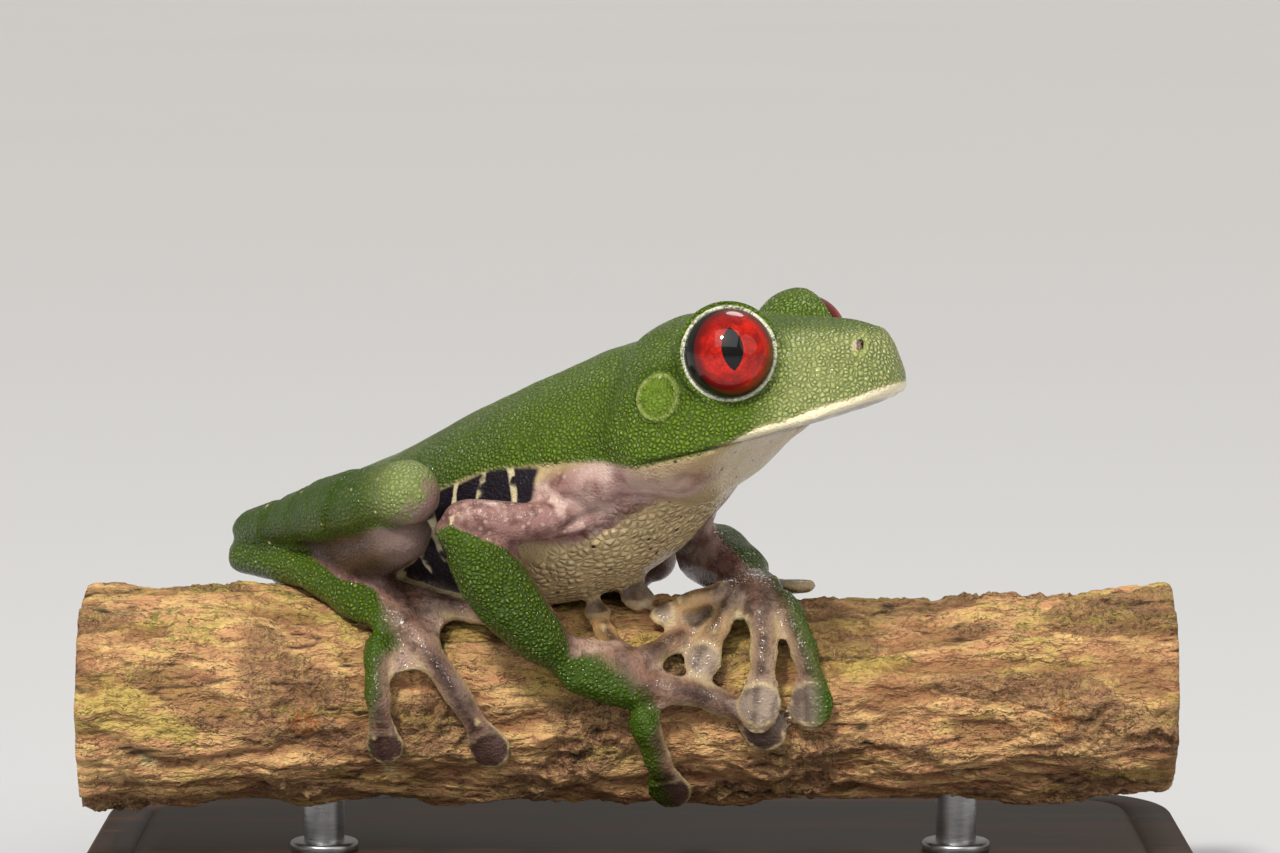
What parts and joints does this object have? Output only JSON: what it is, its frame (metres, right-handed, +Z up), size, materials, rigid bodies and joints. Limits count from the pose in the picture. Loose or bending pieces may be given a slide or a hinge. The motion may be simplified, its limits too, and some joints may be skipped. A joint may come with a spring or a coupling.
{
  "type": "tree frog model",
  "caption": "Life-size still model of a red-eyed tree frog crouching on a cut length of branch, on a plain display stand.",
  "frame": {"origin": "the middle of the stand's flat underside, on the floor", "axes": "+X along the branch, towards the end that the frog looks to; -Y towards the viewer, where the frog's right side shows; +Z up"},
  "size_m": [0.088, 0.054, 0.05],
  "materials": {
    "skin_green": "moist, finely granular, green",
    "skin_pale": "moist, smooth, cream",
    "skin_purple": "moist, smooth, brownish purple",
    "eye": "wet gloss, red iris with an upright slit pupil",
    "bark": "rough flaking bark, orange brown with moss",
    "base_wood": "dark stained wood, satin",
    "rod_steel": "brushed"
  },
  "bodies": {
    "root": {"head": "skin_green", "lower_jaw": "skin_pale", "trunk": "skin_green", "eye_right": "eye", "eye_left": "eye", "eardrum_right": "skin_green", "eardrum_left": "skin_green", "upper_arm_right": "skin_purple", "upper_arm_left": "skin_purple", "forearm_right": "skin_green", "forearm_left": "skin_green", "hand_right": "skin_purple", "hand_left": "skin_purple", "thigh_right": "skin_purple", "thigh_left": "skin_purple", "shank_right": "skin_green", "shank_left": "skin_green", "tarsus_right": "skin_green", "tarsus_left": "skin_green", "foot_right": "skin_purple", "foot_left": "skin_purple", "perch": "bark", "stand_base": "base_wood", "stand_rod_1": "rod_steel", "stand_rod_2": "rod_steel"}
  },
  "joints": []
}
